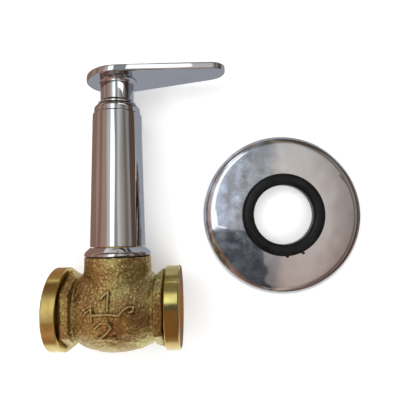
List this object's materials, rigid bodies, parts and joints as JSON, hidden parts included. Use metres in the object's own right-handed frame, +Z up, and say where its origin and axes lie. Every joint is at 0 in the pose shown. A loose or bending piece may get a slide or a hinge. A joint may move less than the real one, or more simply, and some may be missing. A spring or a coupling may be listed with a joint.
{
  "type": "concealed stop valve",
  "caption": "Concealed stop valve: cast brass globe body with hexagon ends, chromed sleeve, quarter-turn lever, and its wall flange taken off beside it.",
  "frame": {"origin": "middle of the underside of the whole, on the surface that it lies on", "axes": "+X along the pipe towards the inlet end and the way the lever points, +Y along the stem towards the handle, +Z up from the surface"},
  "size_m": [0.14, 0.1248, 0.0355],
  "materials": {
    "cast_brass": "sand cast with machined end rings",
    "turned_brass": "turned",
    "chrome": "polished chrome plate",
    "stainless_steel": "plain",
    "black_rubber": "moulded",
    "white_ceramic": "lapped",
    "red_fibre": "pressed fibre",
    "white_plastic": "moulded"
  },
  "bodies": {
    "valve": {"valve_body": "cast_brass", "cartridge_housing": "turned_brass", "cartridge_gasket": "red_fibre", "seat_seal": "black_rubber", "fixed_disc": "white_ceramic", "thrust_washer": "white_plastic", "sleeve_collar": "chrome", "cover_sleeve": "chrome", "guide_ring": "chrome", "guide_bush": "white_plastic", "wall_flange": "chrome", "flange_seal_ring": "black_rubber"},
    "handle": {"lever_handle": "chrome", "handle_screw": "stainless_steel", "index_cap": "chrome", "spindle_extension": "turned_brass", "extension_screw": "stainless_steel", "spindle": "turned_brass", "moving_disc": "white_ceramic", "spindle_o_ring_lower": "black_rubber", "spindle_o_ring_upper": "black_rubber", "retaining_clip": "stainless_steel"}
  },
  "joints": [
    {"name": "lever_turn", "type": "hinge", "parent": "valve", "child": "handle", "pos_m": [-0.04272, -0.04417, 0.01775], "axis": [0, 0.9991, -0.0429], "range_deg": [-90, 0]}
  ]
}
